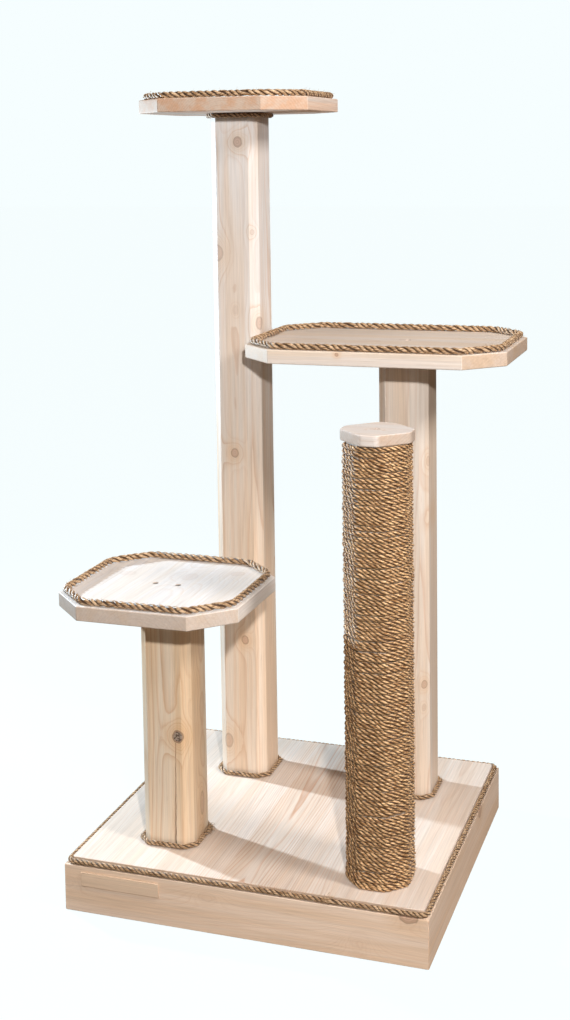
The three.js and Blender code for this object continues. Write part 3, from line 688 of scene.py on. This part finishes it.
def fray(name, place, along, seed):
    """A short tuft where a cut end has come loose."""
    place, along = Vector(place), Vector(along).normalized() * FRAY_HALF
    stub = route_mesh(name + "_route", [place - along, place, place + along])
    mesh = grow(name, stub, rope_tree, {
        "Rope Radius": ROPE_RADIUS * 0.9, "Lay": 0.012, "Start": 0.0, "Spacing": 0.001, "Sides": 8,
        "Upright": 1.0, "Hairs": 160000.0, "Hair Length": 0.0085, "Seed": seed,
        "Rope Finish": manila, "Hair Finish": hair_finish})
    link(name, mesh, "trim_rope")


joint = Vector(points[0]).lerp(Vector(points[-1]), 0.5)
fray("frayed_edge_joint", joint, (1, 0, 0), 5)

# ---- Posts ------------------------------------------------------------------------------
# Planed 4x4 softwood with its long edges chamfered, stood on the panel and screwed from
# below. The low one has split along its front face as it dried.

HALF_POST = 0.0445
POST_LOOK = ((0.79, 0.71, 0.64), (0.78, 0.64, 0.52), (0.66, 0.45, 0.32))
TALL, MIDDLE, LOW, SCRATCH = (
    Vector((*((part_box(node)[0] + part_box(node)[1]) / 2).xy, 0))
    for node in ("tall_post", "middle_post", "low_post", "scratch_post"))


def knots_of(post, places):
    return [((post.x + x, post.y + y, z), *shape) for x, y, z, *shape in places]


tall_wood = softwood(
    "tall_post_wood", "Z", (TALL.x - 0.008, TALL.y + 0.030, 0),
    (0.80, 0.68, 0.57), (0.77, 0.59, 0.44), (0.64, 0.42, 0.28), ring=0.0042, wander=0.045,
    contrast=0.75, bleached=(0.45, 1.15),
    knots=knots_of(TALL, [
        (0.011, -HALF_POST, 1.2565, 0.0075, 1.15, 0.75), (-0.030, -0.044, 1.0585, 0.009, 1.5, 0.45),
        (0.035, -0.040, 1.096, 0.004, 1.2, 0.3), (0.044, -0.032, 0.932, 0.007, 1.6, 0.6),
        (0.002, -HALF_POST, 0.956, 0.004, 1.8, 0.2), (-0.004, -HALF_POST, 0.6946, 0.0068, 1.2, 0.7),
        (0.010, -HALF_POST, 0.3467, 0.0062, 1.2, 0.75), (-0.026, -0.046, 0.152, 0.008, 1.6, 0.5),
        (0.010, HALF_POST, 0.85, 0.009, 1.3, 0.8), (-HALF_POST, 0.012, 0.52, 0.008, 1.3, 0.7)]))
middle_wood = softwood(
    "middle_post_wood", "Z", (MIDDLE.x - 0.02, MIDDLE.y + 0.055, 0), *POST_LOOK,
    ring=0.0045, wander=0.035, contrast=0.7,
    knots=knots_of(MIDDLE, [
        (0.037, -0.040, 0.297, 0.0055, 1.3, 0.6), (0.036, -0.040, 0.255, 0.004, 1.4, 0.25),
        (0.044, -0.032, 0.697, 0.004, 2.0, 0.3), (-0.01, HALF_POST, 0.6, 0.009, 1.3, 0.8)]))
low_wood = softwood(
    "low_post_wood", "Z", (LOW.x + 0.014, LOW.y + 0.012, 0),
    (0.81, 0.68, 0.54), (0.78, 0.58, 0.39), (0.62, 0.38, 0.22), ring=0.0046, wander=0.03, contrast=0.8,
    knots=knots_of(LOW, [
        (0.024, -HALF_POST, 0.279, 0.0088, 1.15, 1.0), (HALF_POST, 0.006, 0.147, 0.0075, 2.6, 0.5),
        (-0.018, HALF_POST, 0.36, 0.009, 1.3, 0.8)]))
scratch_wood = softwood(
    "scratch_post_wood", "Z", (SCRATCH.x, SCRATCH.y, 0), *POST_LOOK, ring=0.005, contrast=0.4)


def drying_check(places):
    """A thin wedge that opens a split: (height, sideways, half width, depth) from the foot up."""
    work = bmesh.new()
    rows = []
    face = LOW.y - HALF_POST
    for z, x, half, depth in places:
        middle, front, bottom = LOW.x + x, face - 0.002, face + depth
        rows.append([work.verts.new(p) for p in (
            (middle - half, front, z), (middle + half, front, z),
            (middle + half * 0.2, bottom, z), (middle - half * 0.2, bottom, z))])
    for before, after in zip(rows, rows[1:]):
        for i in range(4):
            work.faces.new((before[i], before[(i + 1) % 4], after[(i + 1) % 4], after[i]))
    work.faces.new(rows[0][::-1])
    work.faces.new(rows[-1])
    bmesh.ops.recalc_face_normals(work, faces=work.faces)
    mesh = bpy.data.meshes.new("drying_check")
    work.to_mesh(mesh)
    work.free()
    return mesh


random.seed(11)
CHECK_FOOT = 0.080       # the long split runs from the panel almost up to the knot
CHECK_RISE = 0.185
LONG_CHECK = [(CHECK_FOOT, 0.0155, 0.0016, 0.020)]
while LONG_CHECK[-1][0] < 0.262:
    z = LONG_CHECK[-1][0] + random.uniform(0.004, 0.009)
    share = (z - CHECK_FOOT) / CHECK_RISE
    sideways = 0.0155 + 0.0045 * share + random.uniform(-0.0003, 0.0003)
    half = 0.0017 * (1 - share) + 0.0006 * random.uniform(0.7, 1.5)
    LONG_CHECK.append((z, sideways, half, 0.021 - 0.010 * share))
SHORT_CHECK = [(0.335, 0.0205, 0.0001, 0.002)]
while SHORT_CHECK[-1][0] < 0.44:
    z = SHORT_CHECK[-1][0] + random.uniform(0.005, 0.010)
    SHORT_CHECK.append((z, 0.0200 + random.uniform(-0.0003, 0.0003), 0.00022, 0.004))


def split_open(piece, places):
    """Cuts a check into a piece's own mesh, leaving its other modifiers as they were."""
    cutter = bpy.data.objects.new("check_cutter", drying_check(places))
    scene.collection.objects.link(cutter)
    cut = piece.modifiers.new("check", "BOOLEAN")
    cut.operation, cut.solver, cut.object = "DIFFERENCE", "EXACT", cutter
    piece.modifiers.move(len(piece.modifiers) - 1, 0)
    weighing = piece.modifiers["flat faces"]
    weighing.show_viewport = False
    bpy.context.view_layer.update()
    shaped = piece.evaluated_get(bpy.context.evaluated_depsgraph_get())
    split = bpy.data.meshes.new_from_object(shaped)
    weighing.show_viewport = True
    piece.modifiers.remove(cut)
    piece.data = split
    bpy.data.objects.remove(cutter)


for name, paint in (("tall", tall_wood), ("middle", middle_wood), ("low", low_wood),
                    ("scratch", scratch_wood)):
    piece = wooden(f"post_{name}", f"{name}_post", paint, "post_wood", 0.0009)
    if name == "low":
        for places in (LONG_CHECK, SHORT_CHECK):
            split_open(piece, places)

# ---- Rope rings -------------------------------------------------------------------------
# A turn of the same rope pulled tight round each perch post at its foot and its head.

RING_BEND = 0.0048
POST_CHAMFER = 0.014
RING_CLIP = POST_CHAMFER + RING_BEND * (2 - math.sqrt(2))
for seed, name in enumerate(("tall", "middle", "low")):
    for end in ("foot", "head"):
        low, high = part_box(f"{name}_{end}_ring")
        side = high.x - low.x - 2 * ROPE_RADIUS
        points = rope_loop(octagon(side, side, RING_CLIP), RING_BEND, 0.5, low, high)
        lay_rope(f"{end}_rope_{name}", points, f"{name}_{end}_ring", seed=10 + seed, spacing=0.0012)
        if (name, end) == ("low", "foot"):
            loose_end = (high.x - ROPE_RADIUS, (low.y + high.y) / 2 + 0.022, high.z - 0.003)
            fray("frayed_ring_end", loose_end, (0, 1, 1), 6)

# ---- Perches ----------------------------------------------------------------------------
# Planed boards with their corners sawn off and their edges eased, screwed down into the
# posts, each with a length of thicker rope laid on top just inside its edge.

tall_board, middle_board, low_board = (
    (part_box(node)[0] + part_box(node)[1]) / 2
    for node in ("tall_perch_board", "middle_perch_board", "low_perch_board"))
tall_perch_wood = softwood(
    "tall_perch_wood", "Y", (tall_board.x + 0.03, 0, tall_board.z - 0.075),
    (0.77, 0.69, 0.63), (0.76, 0.55, 0.42), (0.60, 0.34, 0.22), ring=0.0038, wander=0.03, contrast=0.6,
    knots=[((tall_board.x - 0.06, tall_board.y + 0.03, tall_board.z + 0.012), 0.008, 1.4, 0.7)])
middle_perch_wood = softwood(
    "middle_perch_wood", "X", (0, middle_board.y - 0.02, middle_board.z - 0.09),
    (0.77, 0.69, 0.63), (0.76, 0.64, 0.53), (0.62, 0.42, 0.29), ring=0.0042, wander=0.05, contrast=0.32,
    knots=[((0.094, -0.037, 0.9000), 0.0024, 1.2, 0.84), ((0.166, 0.143, 0.9046), 0.004, 2.4, 0.3)])
low_perch_wood = softwood(
    "low_perch_wood", "Y", (low_board.x + 0.02, 0, low_board.z - 0.06),
    (0.80, 0.77, 0.76), (0.79, 0.73, 0.68), (0.68, 0.52, 0.42), ring=0.0046, wander=0.04, contrast=0.4,
    knots=[((-0.148, -0.108, 0.5216), 0.012, 1.6, 0.10), ((-0.260, -0.1155, 0.5216), 0.008, 1.5, 0.12),
           ((-0.076, -0.069, 0.5216), 0.008, 1.5, 0.15)])
BOARD_CLIP = 0.063
PERCH_ROPE_RADIUS = 0.00575
PERCH_ROPE_LAY = 0.041
ROPE_INSET = 0.004 + PERCH_ROPE_RADIUS
ROPE_BEND = 0.030
PERCHES = (("tall", tall_perch_wood), ("middle", middle_perch_wood), ("low", low_perch_wood))
for seed, (name, paint) in enumerate(PERCHES):
    wooden(f"perch_{name}", f"{name}_perch_board", paint, "board_wood")
    low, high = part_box(f"{name}_perch_rope")
    width, depth = high.x - low.x - 2 * PERCH_ROPE_RADIUS, high.y - low.y - 2 * PERCH_ROPE_RADIUS
    clip = BOARD_CLIP - ROPE_INSET * (2 - math.sqrt(2))
    points = rope_loop(octagon(width, depth, clip), ROPE_BEND, 0.5, low, high)
    lay_rope(f"perch_rope_{name}", points, f"{name}_perch_rope",
             radius=PERCH_ROPE_RADIUS, lay=PERCH_ROPE_LAY, seed=20 + seed)

# ---- Winding of the scratching post -----------------------------------------------------
# Thin twisted rope wound close round the post from the panel up to the cap, every turn
# pushed down onto the one before and nailed at both ends.

WRAP_RADIUS = 0.004
WRAP_PITCH = 0.0082     # rise of one turn
WRAP_LAY = 0.030
WRAP_BEND = 0.011       # radius of a turn at each chamfer
WRAP_GAP = 0.0003       # between the timber and the rope
SCRATCH_CHAMFER = 0.025
WINDING_PIECES = 4
low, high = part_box("scratch_rope_winding")
side = high.x - low.x - 2 * WRAP_RADIUS
clip = SCRATCH_CHAMFER + (WRAP_GAP + WRAP_RADIUS) * (2 - math.sqrt(2))
loop = bend_corners(octagon(side, side, clip), WRAP_BEND, 3)
lengths = [0.0]
for before, after in zip(loop, loop[1:] + loop[:1]):
    lengths.append(lengths[-1] + (after - before).length)
turns = (high.z - low.z - 2 * WRAP_RADIUS) / WRAP_PITCH
random.seed(5)
path = []
slack, bulge = 0.0, 0.0
for turn in range(int(turns) + 2):
    for point, length in zip(loop, lengths):
        climb = min(max(turn - 1 + length / lengths[-1], 0), turns)
        level = 0 < climb < turns
        slack = (slack * 0.9 + random.uniform(-0.0005, 0.0005)) * level
        bulge = bulge * 0.8 + random.uniform(-0.0005, 0.0005)
        pushed = point * (1 + bulge / point.length)
        height = low.z + WRAP_RADIUS + WRAP_PITCH * climb + slack
        path.append(Vector((pushed.x + SCRATCH.x, pushed.y + SCRATCH.y, height)))
# Its third colour is the painted shade in the valleys between strands.
sisal = rope_finish("wound_sisal", (0.96, 0.64, 0.34), (0.34, 0.16, 0.05), (0.11, 0.044, 0.012), 0.003)
cuts = [round(i * (len(path) - 1) / WINDING_PIECES) for i in range(WINDING_PIECES + 1)]
laid = 0.0
for number, (first, last) in enumerate(zip(cuts, cuts[1:]), 1):
    stretch = path[first:last + 1]
    lay_rope(f"wound_rope_{number}", stretch, "scratch_rope_winding", slot="wound_rope", radius=WRAP_RADIUS,
             lay=WRAP_LAY, seed=40 + number, spacing=0.0024, sides=6, upright=1.12, start=laid,
             hairs=8000.0, hair_length=0.0042, finish=sisal)
    laid += sum((b - a).length for a, b in zip(stretch, stretch[1:]))

# ---- Cap of the scratching post ---------------------------------------------------------
# A small eased octagon of the same board, screwed down over the end of the winding.

cap_middle = (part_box("scratch_cap")[0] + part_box("scratch_cap")[1]) / 2
cap_wood = softwood(
    "cap_wood", "X", (0, cap_middle.y + 0.02, cap_middle.z - 0.05),
    (0.70, 0.65, 0.62), (0.68, 0.58, 0.51), (0.56, 0.40, 0.29), ring=0.0042, contrast=0.6,
    knots=[(cap_middle + Vector((-0.002, -0.004, 0.009)), 0.004, 2.2, 0.3)])
wooden("cap", "scratch_cap", cap_wood, "board_wood")

# ---- Screws -----------------------------------------------------------------------------
# Flat-headed screws sunk just below the perches and the cap, with a cross recess, and
# round-headed ones up through the cleats into the posts' feet.

steel, tree = new_paint("dull_zinc")
where = add(tree, "ShaderNodeTexCoord").outputs["Object"]
cloud = noise(tree, where, (260, 260, 260), 3)[0]
scratches = noise(tree, where, (2500, 300, 300), 2)[0]
tint = blend(tree, step(tree, cloud, 0.4, 0.65), (0.20, 0.185, 0.165), (0.07, 0.06, 0.05))
bump = add(tree, "ShaderNodeBump", {"Height": scratches, "Strength": 0.3, "Distance": 0.0002})
metal = add(tree, "ShaderNodeBsdfPrincipled", {
    "Base Color": tint, "Metallic": 0.9, "Normal": bump.outputs[0],
    "Roughness": step(tree, cloud, 0.3, 0.7, "LINEAR", 0.35, 0.6)})
add(tree, "ShaderNodeOutputMaterial", {0: metal.outputs[0]})

screw_tree, takes, gives = node_group(
    "set_screws", "GeometryNodeTree",
    {"Geometry": "Geometry", "Screw": "Object", "Size": "Float", "Turn": "Rotation", "Finish": "Material"},
    {"Geometry": "Geometry"})
pattern = add(screw_tree, "GeometryNodeObjectInfo", {"Object": takes["Screw"]}).outputs["Geometry"]
points = add(screw_tree, "GeometryNodeMeshToPoints", {"Mesh": takes["Geometry"]}).outputs[0]
screws = add(screw_tree, "GeometryNodeInstanceOnPoints", {
    "Points": points, "Instance": pattern, "Rotation": takes["Turn"], "Scale": takes["Size"]}).outputs[0]
screws = add(screw_tree, "GeometryNodeRealizeInstances", {0: screws}).outputs[0]
finished = {"Geometry": screws, "Material": takes["Finish"]}
screw_tree.links.new(add(screw_tree, "GeometryNodeSetMaterial", finished).outputs[0], gives["Geometry"])


def screw_mesh(name, head, profile, length, shank, pitch, recess):
    """A screw hanging from its head's top: (radius, depth) down the head, then thread, then tip."""
    sides = 20
    work = bmesh.new()
    round_way = [(math.cos(math.tau * i / sides), math.sin(math.tau * i / sides)) for i in range(sides)]
    rings = [[work.verts.new((r * x, r * y, -z)) for x, y in round_way]
             for r, z in profile_with_thread(profile, length, shank, pitch)]
    for upper, lower in zip(rings, rings[1:]):
        for i in range(sides):
            work.faces.new((upper[i], lower[i], lower[(i + 1) % sides], upper[(i + 1) % sides]))
    tip = work.verts.new((0, 0, -length))
    for i in range(sides):
        work.faces.new((rings[-1][i], tip, rings[-1][(i + 1) % sides]))
    narrow, arm = head * 0.075, head * 0.27
    quarter = [(narrow, narrow), (narrow, arm), (-narrow, arm)]
    half = quarter + [(-y, x) for x, y in quarter]
    plus = half + [(-x, -y) for x, y in half]
    mouth = [work.verts.new((px, py, 0)) for px, py in plus]
    base = [work.verts.new((px * 0.7, py * 0.7, -recess)) for px, py in plus]
    rim = [work.edges.get((rings[0][i], rings[0][(i + 1) % sides])) for i in range(sides)]
    lip = [work.edges.new((mouth[i], mouth[(i + 1) % 12])) for i in range(12)]
    bmesh.ops.triangle_fill(work, use_beauty=True, edges=rim + lip)
    for i in range(12):
        work.faces.new((mouth[i], mouth[(i + 1) % 12], base[(i + 1) % 12], base[i]))
    work.faces.new(base)
    bmesh.ops.recalc_face_normals(work, faces=work.faces)
    return smoothed(work, name, steel, 35)


def profile_with_thread(profile, length, shank, pitch):
    rows = list(profile)
    z = profile[-1][1] + pitch
    while z < length - 0.008:
        rows += [(shank * 0.78, z), (shank, z + pitch * 0.45), (shank * 0.78, z + pitch * 0.7)]
        z += pitch
    return rows


FLAT_PROFILE = [(0.0055, 0), (0.0055, 0.0006), (0.0044, 0.0016), (0.0034, 0.0028), (0.0022, 0.004)]
ROUND_PROFILE = [(0.0080, 0), (0.009, 0.0009), (0.009, 0.004), (0.0036, 0.0041)]
flat_head = screw_mesh("flat_head", 0.011, FLAT_PROFILE, 0.075, 0.0025, 0.003, 0.0022)
round_head = screw_mesh("round_head", 0.018, ROUND_PROFILE, 0.110, 0.004, 0.004, 0.0024)


def set_screws(name, pattern, nodes, size=1.0, turn=0.0):
    """Sets one pattern screw where each node is; upward screws hang from their heads' undersides."""
    places = []
    for node in nodes:
        low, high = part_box(node)
        places.append(((low.x + high.x) / 2, (low.y + high.y) / 2, low.z if turn else high.z))
    start = bpy.data.meshes.new(name + "_places")
    start.from_pydata(places, [], [])
    shape = bpy.data.objects.new(name + "_pattern", pattern)
    scene.collection.objects.link(shape)
    mesh = grow(name, start, screw_tree, {
        "Screw": shape, "Size": size, "Turn": Euler((turn, 0, 0.4)), "Finish": steel})
    bpy.data.objects.remove(shape)
    link(name, mesh, "screw_steel", *nodes)


names = sorted(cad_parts)
set_screws("perch_screws", flat_head, [n for n in names if "perch_screw" in n])
set_screws("cap_screw", flat_head, ["scratch_cap_screw"], size=8 / 11)
set_screws("foot_screws", round_head, [n for n in names if "foot_screw" in n], turn=math.pi)
